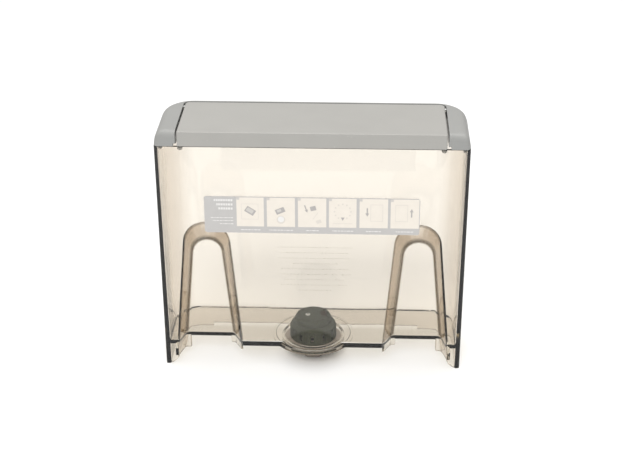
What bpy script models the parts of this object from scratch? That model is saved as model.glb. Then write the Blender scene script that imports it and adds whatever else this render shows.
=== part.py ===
"""Lift-out fresh water reservoir with a hinged lid, a month-dial filter holder and an outlet valve.

Metres, +X to the right, +Y to the back, +Z up. Each piece is built with the front wall at y = 0, then
all of them move forward so that the origin is under the middle of the whole.
"""

import math

import bmesh
import bpy
from mathutils import Matrix, Vector

# Half of the overall depth, from the bulge of the well to the back of the frame
MID_DEPTH = 0.0289

# Tank shell
RIM_Z = 0.1992
TOP_HALF, TOP_BACK = 0.1250, 0.0690
FOOT_HALF, FOOT_BACK = 0.1240, 0.0655
WALL = 0.0024
# The side walls grow thicker toward the feet
SIDE_WALL_TOP, SIDE_WALL_FOOT = 0.0025, 0.0040
BACK_RADIUS, FRONT_RADIUS = 0.0260, 0.0018
FLOOR_UNDER, FLOOR_TOP = 0.0184, 0.0209
BACK_NOTCH_HALF, BACK_NOTCH_Z = 0.0900, 0.0030

# Two arched recesses in the front wall: centre x, apex z, arc radius, half width at the floor
RECESS_DEPTH = 0.0160
RECESS_FRONT = (0.0855, 0.1333, 0.0182, 0.0265)
RECESS_REAR = (0.0872, 0.1113, 0.0134, 0.0208)
RECESS_SHELL_FRONT = (0.0856, 0.1374, 0.0203, 0.0288)
RECESS_SHELL_REAR = (0.0873, 0.1121, 0.0149, 0.0224)
RECESS_LIP, RECESS_TURN = 0.0010, 0.0026
FOOT_STRIP_Z, FLAP_Z = 0.0070, 0.0124

# Round well under the filter holder
WELL_Y = 0.0220
WELL_R, WELL_UNDER = 0.0342, 0.0176
HOOD_Z, HOOD_TOP_R, HOOD_TOP_Z = 0.0215, 0.0222, 0.0335
CUP_R, CUP_UNDER, CUP_TOP = 0.0264, 0.0129, 0.0145
CUP_BORE = 0.0247
STUB_R, STUB_END, STUB_BORE = 0.0095, 0.0030, 0.0072

# Top frame and lid
LID_TOP = 0.2118
FRAME_UNDER = 0.1995
FRAME_BACK = 0.0700
OPENING_HALF, OPENING_BACK = 0.1078, 0.0668
PANEL_HALF, PANEL_BACK, PANEL_RADIUS = 0.1064, 0.0660, 0.0040
PANEL_SKIN = 0.0024
FASCIA_UNDER, SKIRT_UNDER = 0.1996, 0.2042
HINGE_Y, HINGE_Z = 0.0612, 0.2086
PIN_R = 0.0016
PEG_X, PEG_Z, PEG_R = 0.1043, 0.1978, 0.0022

# Instruction label
LABEL_HALF, LABEL_LOW, LABEL_HIGH = 0.0866, 0.1249, 0.1570

# Filter holder, upward from the well
BASE_R, BASE_LOW, BASE_TOP = 0.0243, 0.0153, 0.0170
HOUSING_R, HOUSING_BORE = 0.0190, 0.0170
HOUSING_LOW, HOUSING_TOP = 0.0173, 0.0326
DIAL_R, DIAL_LOW, DIAL_TOP = 0.0151, 0.0329, 0.0378
RIB_COUNT, SLOT_COUNT = 24, 12

# Outlet valve
VALVE_R, VALVE_BORE, SEAT_R = 0.0069, 0.0052, 0.0028
SEAT_LOW, SEAT_TOP = 0.0118, 0.0132

ROUND = 64


def clear_scene():
    for thing in list(bpy.data.objects):
        bpy.data.objects.remove(thing, do_unlink=True)


def make_material(name, colour, rough, metal=0.0, alpha=1.0):
    material = bpy.data.materials.new(name)
    material.use_nodes = True
    shader = material.node_tree.nodes["Principled BSDF"]
    shader.inputs["Base Color"].default_value = (*colour, 1.0)
    shader.inputs["Roughness"].default_value = rough
    shader.inputs["Metallic"].default_value = metal
    shader.inputs["Alpha"].default_value = alpha
    return material


def make_object(name, bm, material=None, smooth=True):
    bmesh.ops.recalc_face_normals(bm, faces=bm.faces)
    mesh = bpy.data.meshes.new(name)
    bm.to_mesh(mesh)
    bm.free()
    thing = bpy.data.objects.new(name, mesh)
    bpy.context.scene.collection.objects.link(thing)
    if material is not None:
        mesh.materials.append(material)
    for polygon in mesh.polygons:
        polygon.use_smooth = smooth
    return thing


def as_helper(thing):
    thing.hide_render = True
    thing.display_type = "WIRE"
    return thing


def set_origin(name, point):
    """Moves one object's origin to point without moving its shape."""
    thing = bpy.data.objects[name]
    shift = Vector(point) - thing.location
    thing.data.transform(Matrix.Translation(-shift))
    thing.location += shift


def combine(target, other, operation):
    """Adds an exact Boolean of target with other."""
    as_helper(other)
    modifier = target.modifiers.new(operation.title(), "BOOLEAN")
    modifier.operation = operation
    modifier.solver = "EXACT"
    modifier.object = other
    return target


def plan(half, front, back, front_radius, back_radius, steps=10):
    """Outline in plan, anticlockwise from the front left: small front corners, large back corners."""
    corners = (
        (-half + front_radius, front + front_radius, front_radius, 180, 3),
        (half - front_radius, front + front_radius, front_radius, 270, 3),
        (half - back_radius, back - back_radius, back_radius, 0, steps),
        (-half + back_radius, back - back_radius, back_radius, 90, steps),
    )
    points = []
    for x, y, radius, start, count in corners:
        for step in range(count + 1):
            angle = math.radians(start + 90 * step / count)
            points.append((x + radius * math.cos(angle), y + radius * math.sin(angle)))
    return points


def loft(name, sections, material=None, smooth=True):
    """Closed solid through rings of 3-D points, one ring to each section."""
    bm = bmesh.new()
    rings = [[bm.verts.new(point) for point in ring] for ring in sections]
    for low, high in zip(rings, rings[1:]):
        for index in range(len(low)):
            following = (index + 1) % len(low)
            bm.faces.new((low[index], low[following], high[following], high[index]))
    bm.faces.new(reversed(rings[0]))
    bm.faces.new(rings[-1])
    return make_object(name, bm, material, smooth)


def at_height(points, z):
    return [(x, y, z) for x, y in points]


def at_depth(points, y):
    return [(x, y, z) for x, z in points]


def box(name, low, high, material=None):
    bm = bmesh.new()
    centre = (Vector(low) + Vector(high)) / 2
    size = Vector(high) - Vector(low)
    matrix = Matrix.Translation(centre) @ Matrix.Diagonal((*size, 1.0))
    bmesh.ops.create_cube(bm, size=1.0, matrix=matrix)
    return make_object(name, bm, material, smooth=False)


def spin(name, profile, centre=(0.0, WELL_Y), steps=ROUND, material=None, bores=()):
    """Solid of revolution about a vertical axis from an (r, z) outline that closes on itself or the axis."""
    bm = bmesh.new()
    verts = [bm.verts.new((radius, 0.0, z)) for radius, z in profile]
    edges = [bm.edges.new(pair) for pair in zip(verts, verts[1:])]
    if min(profile[0][0], profile[-1][0]) > 1e-6:
        edges.append(bm.edges.new((verts[-1], verts[0])))
    bmesh.ops.spin(
        bm, geom=verts + edges, cent=(0, 0, 0), axis=(0, 0, 1), angle=math.tau,
        steps=steps, use_merge=True, use_duplicate=False,
    )
    bmesh.ops.remove_doubles(bm, verts=bm.verts, dist=1e-6)
    bmesh.ops.translate(bm, verts=bm.verts, vec=(centre[0], centre[1], 0.0))
    thing = make_object(name, bm, material)
    for number, cutter in enumerate(bores):
        combine(thing, cutter, "DIFFERENCE")
    return thing


def rod(name, start, end, radius, steps=24, material=None):
    """Round bar from start to end."""
    bm = bmesh.new()
    start, end = Vector(start), Vector(end)
    turn = (end - start).to_track_quat("Z", "Y").to_matrix().to_4x4()
    matrix = Matrix.Translation((start + end) / 2) @ turn
    bmesh.ops.create_cone(
        bm, cap_ends=True, segments=steps, radius1=radius, radius2=radius,
        depth=(end - start).length, matrix=matrix,
    )
    return make_object(name, bm, material)


def arch(shape, side, foot_z, steps=18):
    """Inverted-U outline as (x, z): straight flared legs and a round top."""
    centre, apex, radius, half_low = shape
    arc_z = apex - radius
    flare = math.atan((half_low - radius) / (arc_z - FLOOR_TOP))
    touch_x, touch_z = radius * math.cos(flare), arc_z + radius * math.sin(flare)
    foot_half = touch_x + (touch_z - foot_z) * math.tan(flare)
    points = [(centre - foot_half, foot_z)]
    for step in range(steps + 1):
        angle = math.pi - flare - (math.pi - 2 * flare) * step / steps
        points.append((centre + radius * math.cos(angle), arc_z + radius * math.sin(angle)))
    points.append((centre + foot_half, foot_z))
    return [(side * x, z) for x, z in points]


def shell_half(z):
    return FOOT_HALF + (TOP_HALF - FOOT_HALF) * z / RIM_Z


def shell_back(z):
    return FOOT_BACK + (TOP_BACK - FOOT_BACK) * z / RIM_Z


def shell_ring(z, inset, side=None):
    """Tank outline at one height, moved in by inset, or by side along x."""
    side = inset if side is None else side
    radius = max(BACK_RADIUS - side, 0.004)
    corner = max(FRONT_RADIUS - inset, 0.0008)
    return at_height(plan(shell_half(z) - side, inset, shell_back(z) - inset, corner, radius), z)


def side_wall(z):
    share = min(max(z / RIM_Z, 0.0), 1.0)
    return SIDE_WALL_FOOT + (SIDE_WALL_TOP - SIDE_WALL_FOOT) * share


def grown(shape, amount):
    """Arch outline moved outward by amount."""
    centre, apex, radius, half_low = shape
    return centre, apex + amount, radius + amount, half_low + amount


def recess(front, rear, depth, lip, turn, side):
    """Rings of a tapered arched recess with a rolled lip in front and a rounded turn at its back wall."""
    steps = [(-0.004, 0.0, lip), (0.0, 0.0, lip)]
    if lip:
        steps += [(0.0003, 0.0, lip * 0.45), (0.0008, 0.0, lip * 0.12), (0.0016, 0.06, 0.0)]
    steps += [
        (depth - turn, 0.92, 0.0), (depth - turn * 0.62, 0.965, -turn * 0.07),
        (depth - turn * 0.29, 0.985, -turn * 0.29), (depth - turn * 0.08, 0.995, -turn * 0.60), (depth, 1.0, -turn),
    ]
    rings = []
    for y, share, amount in steps:
        shape = tuple(a + (b - a) * share for a, b in zip(front, rear))
        rings.append(at_depth(arch(grown(shape, amount), side, -0.006), y))
    return rings


def build_tank(material):
    tank = loft("tank_body", [shell_ring(0.0, 0.0), shell_ring(RIM_Z, 0.0)], material)

    under = [shell_ring(-0.004, WALL, SIDE_WALL_FOOT), shell_ring(FLOOR_UNDER, WALL, side_wall(FLOOR_UNDER))]
    combine(tank, loft("cut_under_floor", under), "DIFFERENCE")
    combine(tank, box("cut_front_skirt", (-0.0700, -0.010, -0.004), (0.0700, 0.0100, FLOOR_UNDER)), "DIFFERENCE")
    notch_low, notch_high = (-BACK_NOTCH_HALF, 0.050, -0.004), (BACK_NOTCH_HALF, 0.080, BACK_NOTCH_Z)
    combine(tank, box("cut_back_notch", notch_low, notch_high), "DIFFERENCE")

    for side, word in ((-1, "left"), (1, "right")):
        strip = [(side * x, y) for x, y in ((0.1100, 0.0012), (0.1162, 0.0012), (0.1110, 0.0180), (0.1040, 0.0180))]
        wall = [at_height(strip, FOOT_STRIP_Z), at_height(strip, FLOOR_UNDER + 0.0012)]
        combine(tank, loft(f"add_foot_wall_{word}", wall, smooth=False), "UNION")
        strip = [(side * x, y) for x, y in ((0.0588, 0.0045), (0.0612, 0.0045), (0.0700, 0.0176), (0.0646, 0.0176))]
        wall = [at_height(strip, FLAP_Z), at_height(strip, FLOOR_UNDER + 0.0012)]
        combine(tank, loft(f"add_flap_{word}", wall, smooth=False), "UNION")

    outer = [
        (0.0, STUB_END), (STUB_R, STUB_END), (STUB_R, CUP_UNDER), (CUP_R, CUP_UNDER), (CUP_R, WELL_UNDER),
        (WELL_R, WELL_UNDER), (WELL_R, HOOD_Z), (HOOD_TOP_R, HOOD_TOP_Z), (0.0, HOOD_TOP_Z),
    ]
    combine(tank, spin("add_well", outer, steps=80), "UNION")

    inside = []
    for z, fillet in ((FLOOR_TOP, 0.0024), (FLOOR_TOP + 0.0007, 0.0009), (FLOOR_TOP + 0.0024, 0.0), (RIM_Z + 0.010, 0.0)):
        inside.append(shell_ring(z, WALL + fillet, side_wall(z) + fillet))
    room = loft("cut_inside", inside)
    for side, word in ((-1, "left"), (1, "right")):
        shell = recess(RECESS_SHELL_FRONT, RECESS_SHELL_REAR, RECESS_DEPTH + WALL, 0.0, RECESS_TURN + WALL * 0.6, side)
        combine(room, loft(f"keep_recess_{word}", shell), "DIFFERENCE")
    slope = WALL * math.sqrt(2)
    inner_r = WELL_R - WALL
    inner = [
        (0.0, -0.004), (STUB_BORE, -0.004), (STUB_BORE, CUP_TOP), (CUP_BORE, CUP_TOP),
        (CUP_BORE, WELL_UNDER + WALL), (inner_r, WELL_UNDER + WALL),
        (inner_r, HOOD_Z + WALL - slope), (0.0170, HOOD_Z + WALL - slope + inner_r - 0.0170),
        (0.0, HOOD_Z + WALL - slope + inner_r - 0.0170),
    ]
    combine(room, spin("cut_well", inner, steps=80), "UNION")

    for side, word in ((-1, "left"), (1, "right")):
        air = recess(RECESS_FRONT, RECESS_REAR, RECESS_DEPTH, RECESS_LIP, RECESS_TURN, side)
        combine(tank, loft(f"cut_recess_{word}", air), "DIFFERENCE")
        curve = [
            (0.1080, -0.004), (0.1204, -0.004), (0.1204, 0.0003), (0.1190, 0.0008), (0.1176, 0.0016),
            (0.1158, 0.0030), (0.1141, 0.0046), (0.1124, 0.0066), (0.1110, 0.0086), (0.1080, 0.0140),
        ]
        toe = [at_depth([(side * x, z) for x, z in curve], y) for y in (-0.002, 0.0028)]
        combine(tank, loft(f"cut_toe_{word}", toe, smooth=False), "DIFFERENCE")
    combine(tank, room, "DIFFERENCE")
    return tank


def frame_ring(z, side_in, front_in, back_in):
    back_radius = BACK_RADIUS - side_in
    outline = plan(TOP_HALF - side_in, front_in, FRAME_BACK - back_in, 0.0032, back_radius)
    return at_height(outline, z)


def build_frame(material):
    outer = [
        frame_ring(FRAME_UNDER, 0.0, 0.0, 0.0),
        frame_ring(0.2024, 0.0003, 0.0, 0.0),
        frame_ring(0.2062, 0.0010, 0.0003, 0.0001),
        frame_ring(0.2086, 0.0019, 0.0010, 0.0003),
        frame_ring(0.2103, 0.0031, 0.0022, 0.0005),
        frame_ring(0.2113, 0.0046, 0.0038, 0.0009),
        frame_ring(LID_TOP, 0.0066, 0.0060, 0.0015),
    ]
    frame = loft("top_frame", outer, material)
    opening = plan(OPENING_HALF, -0.010, OPENING_BACK, 0.001, PANEL_RADIUS + 0.0016)
    combine(frame, loft("cut_opening", [at_height(opening, 0.190), at_height(opening, 0.215)]), "DIFFERENCE")
    hollow_outline = plan(TOP_HALF - 0.0038, 0.0030, FRAME_BACK - 0.0028, 0.002, BACK_RADIUS - 0.0038)
    hollow = loft("cut_cap_hollow", [at_height(hollow_outline, 0.195), at_height(hollow_outline, 0.2090)])
    combine(hollow, box("keep_middle", (-0.1101, -0.02, 0.19), (0.1101, 0.09, 0.22)), "DIFFERENCE")
    combine(frame, hollow, "DIFFERENCE")
    for side, word in ((-1, "left"), (1, "right")):
        low, high = sorted((side * 0.1070, side * 0.1096))
        combine(frame, box(f"cut_gap_notch_{word}", (low, -0.003, 0.190), (high, 0.0060, 0.2022)), "DIFFERENCE")
        low, high = sorted((side * 0.1196, side * 0.1220))
        rib = box(f"add_rib_{word}", (low, 0.0080, 0.1945), (high, 0.0380, 0.2090))
        combine(frame, rib, "UNION")
        bore = rod(f"cut_bore_{word}", (side * 0.1060, HINGE_Y, HINGE_Z), (side * 0.1130, HINGE_Y, HINGE_Z), PIN_R + 0.00008)
        combine(frame, bore, "DIFFERENCE")
    return frame


def build_panel(material):
    def ring(z, inset):
        outline = plan(PANEL_HALF - inset, inset, PANEL_BACK - inset, 0.0010, PANEL_RADIUS - inset, 6)
        return at_height(outline, z)

    outer = [ring(FASCIA_UNDER, 0.0), ring(LID_TOP - 0.0008, 0.0), ring(LID_TOP - 0.0003, 0.00022), ring(LID_TOP, 0.0008)]
    panel = loft("lid_panel", outer, material)
    inner = plan(PANEL_HALF - PANEL_SKIN, PANEL_SKIN, PANEL_BACK - PANEL_SKIN, 0.0006, PANEL_RADIUS - PANEL_SKIN, 6)
    hollow = [at_height(inner, 0.190), at_height(inner, LID_TOP - PANEL_SKIN)]
    combine(panel, loft("cut_panel_hollow", hollow), "DIFFERENCE")
    combine(panel, box("cut_panel_sides", (-0.120, PANEL_SKIN, 0.190), (0.120, 0.080, SKIRT_UNDER)), "DIFFERENCE")
    for side, word in ((-1, "left"), (1, "right")):
        low, high = sorted((side * (PEG_X - PEG_R), side * (PEG_X + 0.0018)))
        combine(panel, box(f"add_tab_{word}", (low, 0.0028, PEG_Z), (high, 0.0050, 0.2089)), "UNION")
        peg = rod(f"add_peg_{word}", (side * PEG_X, 0.0028, PEG_Z), (side * PEG_X, 0.0050, PEG_Z), PEG_R, 20)
        combine(panel, peg, "UNION")
        ear = rod(f"add_ear_{word}", (side * 0.1016, HINGE_Y, HINGE_Z), (side * 0.1057, HINGE_Y, HINGE_Z), 0.0030, 24)
        combine(panel, ear, "UNION")
        bore = rod(f"cut_pin_hole_{word}", (side * 0.1000, HINGE_Y, HINGE_Z), (side * 0.1080, HINGE_Y, HINGE_Z), PIN_R + 0.00008)
        combine(panel, bore, "DIFFERENCE")
    return panel


def build_pins(material):
    for side, word in ((-1, "left"), (1, "right")):
        bm = bmesh.new()
        profile = [(0.0, 0.0), (0.0012, 0.0), (PIN_R, 0.0004), (PIN_R, 0.0081), (0.0012, 0.0085), (0.0, 0.0085)]
        verts = [bm.verts.new((radius, 0.0, z)) for radius, z in profile]
        edges = [bm.edges.new(pair) for pair in zip(verts, verts[1:])]
        bmesh.ops.spin(
            bm, geom=verts + edges, cent=(0, 0, 0), axis=(0, 0, 1), angle=math.tau,
            steps=24, use_merge=True, use_duplicate=False,
        )
        bmesh.ops.remove_doubles(bm, verts=bm.verts, dist=1e-6)
        turn = Matrix.Rotation(side * math.pi / 2, 4, "Y")
        bmesh.ops.transform(bm, verts=bm.verts, matrix=turn)
        pin = make_object(f"hinge_pin_{word}", bm, material)
        pin.location = (side * 0.1018, HINGE_Y, HINGE_Z)


def build_label(material):
    points = []
    radius = 0.0020
    for cx, cz, start in (
        (LABEL_HALF - radius, LABEL_HIGH - radius, 0), (-LABEL_HALF + radius, LABEL_HIGH - radius, 90),
        (-LABEL_HALF + radius, LABEL_LOW + radius, 180), (LABEL_HALF - radius, LABEL_LOW + radius, 270),
    ):
        for step in range(6):
            angle = math.radians(start + 90 * step / 5)
            points.append((cx + radius * math.cos(angle), cz + radius * math.sin(angle)))
    return loft("instruction_label", [at_depth(points, -0.00055), at_depth(points, -0.00030)], material, smooth=False)


def ring_of(maker, count, phase=0.0, bm=None):
    """One mesh of count copies about the well's axis; maker fills a bmesh for the copy at angle zero."""
    bm = bm or bmesh.new()
    for index in range(count):
        part = bmesh.new()
        maker(part)
        turn = Matrix.Translation((0.0, WELL_Y, 0.0)) @ Matrix.Rotation(phase + math.tau * index / count, 4, "Z")
        bmesh.ops.transform(part, verts=part.verts, matrix=turn)
        mesh = bpy.data.meshes.new("copy")
        part.to_mesh(mesh)
        part.free()
        bm.from_mesh(mesh)
        bpy.data.meshes.remove(mesh)
    return bm


def block(low, high):
    """Maker of one box, for ring_of."""
    def fill(bm):
        size = Vector(high) - Vector(low)
        matrix = Matrix.Translation((Vector(high) + Vector(low)) / 2) @ Matrix.Diagonal((*size, 1.0))
        bmesh.ops.create_cube(bm, size=1.0, matrix=matrix)
    return fill


def post(radius, distance, low, high, steps=16):
    """Maker of one vertical bar, for ring_of."""
    def fill(bm):
        matrix = Matrix.Translation((distance, 0.0, (low + high) / 2))
        bmesh.ops.create_cone(
            bm, cap_ends=True, segments=steps, radius1=radius, radius2=radius, depth=high - low, matrix=matrix,
        )
    return fill


def build_filter(dark, darker, pale, pouch, rubber):
    base = [
        (0.0072, BASE_LOW), (BASE_R - 0.0006, BASE_LOW), (BASE_R, BASE_LOW + 0.0006), (BASE_R, BASE_TOP - 0.0006),
        (BASE_R - 0.0006, BASE_TOP), (0.0166, BASE_TOP), (0.0166, 0.0197), (0.0154, 0.0197), (0.0154, BASE_TOP), (0.0072, BASE_TOP),
    ]
    holes = make_object("cut_base_holes", ring_of(post(0.0016, 0.0122, 0.012, 0.024, 12), 10, 0.2))
    spin("filter_base", base, material=darker, bores=(holes,))
    spin("base_gasket", [(0.0084, 0.0146), (0.0100, 0.0146), (0.0100, 0.0152), (0.0084, 0.0152)], steps=40, material=rubber)

    low, top = HOUSING_LOW, HOUSING_TOP
    housing = [
        (HOUSING_BORE, low), (HOUSING_R, low), (HOUSING_R, top - 0.0036), (HOUSING_R - 0.0003, top - 0.0028),
        (HOUSING_R - 0.0010, top - 0.0018), (HOUSING_R - 0.0022, top - 0.0007), (HOUSING_R - 0.0034, top), (0.0026, top),
        (0.0026, top - 0.0016), (HOUSING_BORE - 0.0030, top - 0.0016), (HOUSING_BORE, top - 0.0046),
    ]
    slots = make_object("cut_slots", ring_of(block((0.0155, -0.0011, 0.0200), (0.0215, 0.0011, 0.0262)), SLOT_COUNT))
    body = spin("filter_housing", housing, steps=72, material=dark, bores=(slots,))
    ribs = ring_of(block((0.0180, -0.00055, low + 0.0006), (0.0196, 0.00055, top - 0.0040)), RIB_COUNT, math.pi / RIB_COUNT)
    combine(body, make_object("add_ribs", ribs), "UNION")

    pod = [
        (0.0, 0.0204), (0.0095, 0.0204), (0.0120, 0.0207), (0.0138, 0.0222), (0.0145, 0.0246), (0.0138, 0.0270),
        (0.0120, 0.0286), (0.0095, 0.0290), (0.0, 0.0291),
    ]
    spin("filter_cartridge", pod, steps=40, material=pouch)
    spin("cartridge_seal", [(0.0106, 0.0190), (0.0126, 0.0190), (0.0126, 0.0201), (0.0106, 0.0201)], steps=40, material=rubber)

    low, top = DIAL_LOW, DIAL_TOP
    disc = [
        (0.0027, low), (0.0046, low), (0.0046, top - 0.0024), (0.0120, top - 0.0024), (0.0120, top - 0.0013), (0.0027, top - 0.0013),
    ]
    spin("month_disc", disc, steps=40, material=pale)

    r = DIAL_R
    knob = [
        (0.0, 0.0314), (0.0022, 0.0314), (0.0022, top - 0.0010), (r - 0.0020, top - 0.0010), (r - 0.0020, low), (r, low),
        (r, top - 0.0020), (r - 0.0002, top - 0.0012), (r - 0.0007, top - 0.0004), (r - 0.0013, top), (0.0, top),
    ]
    window = rod("cut_window", (-0.0045, WELL_Y, top - 0.004), (-0.0045, WELL_Y, top + 0.004), 0.0021, 20)
    dial = spin("filter_dial", knob, steps=72, material=dark, bores=(window,))
    hollow = rod("cut_thumb", (0.0106, WELL_Y + 0.0030, top - 0.0005), (0.0106, WELL_Y + 0.0030, top + 0.003), 0.0048, 32)
    keep = rod("keep_thumb", (0.0, WELL_Y, top - 0.004), (0.0, WELL_Y, top + 0.006), r - 0.0032, 48)
    combine(hollow, keep, "INTERSECT")
    combine(dial, hollow, "DIFFERENCE")
    grips = ring_of(block((r - 0.0004, -0.0004, low + 0.0008), (r + 0.0004, 0.0004, top - 0.0030)), 12, 0.13)
    combine(dial, make_object("add_grips", grips), "UNION")


def build_valve(plastic, steel, rubber, mesh_metal):
    body = [
        (VALVE_BORE, 0.0182), (VALVE_BORE, SEAT_TOP), (SEAT_R, SEAT_TOP), (SEAT_R, SEAT_LOW), (0.0044, SEAT_LOW),
        (0.0044, 0.0008), (VALVE_R, 0.0008), (VALVE_R, 0.0173), (0.0092, 0.0173), (0.0092, 0.0184), (VALVE_BORE, 0.0184),
    ]
    spin("valve_body", body, steps=48, material=plastic)
    nut = rod("valve_nut", (0.0, WELL_Y, 0.0006), (0.0, WELL_Y, 0.0027), 0.0104, 6, plastic)
    middle = Matrix.Translation((0.0, WELL_Y, 0.0))
    nut.data.transform(middle @ Matrix.Rotation(math.pi / 6, 4, "Z") @ middle.inverted())
    combine(nut, rod("cut_nut", (0.0, WELL_Y, -0.002), (0.0, WELL_Y, 0.005), 0.0072, 48), "DIFFERENCE")
    stem = [
        (0.0, 0.0014), (0.0014, 0.0014), (0.0014, 0.0040), (0.0036, 0.0040), (0.0036, 0.0050), (0.0014, 0.0050),
        (0.0014, 0.0146), (0.0040, 0.0146), (0.0040, 0.0158), (0.0, 0.0158),
    ]
    spin("valve_plunger", stem, steps=32, material=plastic)
    spin("valve_seal", [(0.0017, 0.0134), (0.0042, 0.0134), (0.0042, 0.0143), (0.0017, 0.0143)], steps=32, material=rubber)

    bm = bmesh.new()
    wire, coil, turns, per_turn, low, high = 0.0003, 0.0030, 5, 20, 0.0056, 0.0113
    count = turns * per_turn
    rings = []
    for step in range(count + 1):
        angle = math.tau * step / per_turn
        centre = Vector((coil * math.cos(angle), WELL_Y + coil * math.sin(angle), low + (high - low) * step / count))
        outward = Vector((math.cos(angle), math.sin(angle), 0.0))
        rings.append([
            bm.verts.new(centre + wire * (outward * math.cos(turn) + Vector((0, 0, math.sin(turn)))))
            for turn in (math.tau * corner / 6 for corner in range(6))
        ])
    for first, second in zip(rings, rings[1:]):
        for corner in range(6):
            other = (corner + 1) % 6
            bm.faces.new((first[corner], first[other], second[other], second[corner]))
    bm.faces.new(reversed(rings[0]))
    bm.faces.new(rings[-1])
    make_object("valve_spring", bm, steel)

    holes = ring_of(post(0.0005, 0.0031, 0.017, 0.022, 8), 10)
    holes = make_object("cut_mesh", ring_of(post(0.0005, 0.0015, 0.017, 0.022, 8), 5, 0.1, holes))
    disc = rod("valve_strainer", (0.0, WELL_Y, 0.0187), (0.0, WELL_Y, 0.0192), 0.0060, 32, mesh_metal)
    combine(disc, holes, "DIFFERENCE")

    ring = []
    for step in range(10):
        angle = math.tau * step / 10
        ring.append((0.0107 + 0.0009 * math.cos(angle), 0.0066 + 0.0009 * math.sin(angle)))
    spin("outlet_o_ring", ring, steps=40, material=rubber)


def main():
    clear_scene()
    smoke = make_material("smoked_clear", (0.86, 0.82, 0.74), 0.08, alpha=0.35)
    grey = make_material("grey_satin", (0.47, 0.46, 0.44), 0.42)
    steel = make_material("pin_steel", (0.62, 0.62, 0.60), 0.30, metal=1.0)
    print_film = make_material("label_film", (0.72, 0.71, 0.71), 0.45)
    dark = make_material("filter_dark", (0.10, 0.11, 0.09), 0.40)
    darker = make_material("base_taupe", (0.36, 0.32, 0.28), 0.40)
    pale = make_material("disc_pale", (0.82, 0.82, 0.78), 0.45)
    pouch = make_material("pouch_white", (0.80, 0.79, 0.74), 0.80)
    rubber = make_material("seal_rubber", (0.10, 0.10, 0.10), 0.70)
    valve = make_material("valve_plastic", (0.30, 0.30, 0.29), 0.40)
    mesh_metal = make_material("strainer_steel", (0.60, 0.60, 0.58), 0.35, metal=1.0)

    build_tank(smoke)
    build_frame(grey)
    build_panel(grey.copy())
    build_pins(steel)
    build_label(print_film)
    build_filter(dark, darker, pale, pouch, rubber)
    build_valve(valve, steel.copy(), rubber.copy(), mesh_metal)

    for name in ("lid_panel", "hinge_pin_left", "hinge_pin_right"):
        set_origin(name, (0.0, HINGE_Y, HINGE_Z))
    for name in ("filter_cartridge", "cartridge_seal", "filter_housing", "month_disc", "filter_dial"):
        set_origin(name, (0.0, WELL_Y, HOUSING_LOW))
    for name in ("valve_plunger", "valve_seal", "valve_spring"):
        set_origin(name, (0.0, WELL_Y, SEAT_TOP))
    for thing in bpy.data.objects:
        thing.location.y -= MID_DEPTH


main()
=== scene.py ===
"""Lift-out fresh water tank: finishes, printed label, dial marks and studio, laid out as a Blender add-on.

Metres, +X to the right, +Y to the back, +Z up, with the feet on z = 0.
"""

import math

import bmesh
import bpy
from mathutils import Matrix, Vector


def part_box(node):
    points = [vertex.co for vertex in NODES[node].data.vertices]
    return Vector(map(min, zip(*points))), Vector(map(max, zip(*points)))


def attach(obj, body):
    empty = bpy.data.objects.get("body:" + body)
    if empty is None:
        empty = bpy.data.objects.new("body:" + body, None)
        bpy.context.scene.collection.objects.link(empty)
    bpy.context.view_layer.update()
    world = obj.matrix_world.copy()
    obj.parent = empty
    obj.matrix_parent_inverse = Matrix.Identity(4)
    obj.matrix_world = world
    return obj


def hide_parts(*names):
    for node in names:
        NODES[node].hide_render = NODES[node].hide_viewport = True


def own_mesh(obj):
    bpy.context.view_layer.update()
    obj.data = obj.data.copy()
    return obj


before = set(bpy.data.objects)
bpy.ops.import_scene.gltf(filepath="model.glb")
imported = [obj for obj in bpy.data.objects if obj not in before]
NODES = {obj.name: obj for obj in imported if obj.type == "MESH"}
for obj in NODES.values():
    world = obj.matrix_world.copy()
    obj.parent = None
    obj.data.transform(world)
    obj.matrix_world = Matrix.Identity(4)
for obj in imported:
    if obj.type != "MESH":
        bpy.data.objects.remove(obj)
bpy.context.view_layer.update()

bl_info = {
    "name": "Fresh Water Tank",
    "version": (1, 0, 0),
    "blender": (4, 5, 0),
    "location": "3D View > Sidebar > Water Tank",
    "description": "Finishes a lift-out water tank with its lid, filter, valve, label and studio",
    "category": "Add Mesh",
}

MM = 0.001
LABEL_LOW, LABEL_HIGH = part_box("instruction_label")
DISC_LOW, DISC_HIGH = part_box("month_disc")
DIAL_LOW, DIAL_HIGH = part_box("filter_dial")
# Outside of the front wall: the label's back stands 0.3 mm off it
FRONT_Y = LABEL_HIGH.y + 0.3 * MM
WELL_CENTRE = ((DIAL_LOW.x + DIAL_HIGH.x) / 2, (DISC_LOW.y + DISC_HIGH.y) / 2)
# Middle of the dial's window, from its axis
WINDOW_RADIUS = 4.5 * MM
MONTHS = 12
DUST_COLOUR = (0.62, 0.60, 0.56)
RUBBER_COLOUR = (0.03, 0.03, 0.03)


# ---------------------------------------------------------------- properties


def colour_property(name, description, default):
    return bpy.props.FloatVectorProperty(
        name=name, description=description, default=default, subtype="COLOR", size=3, min=0.0, max=1.0
    )


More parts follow.
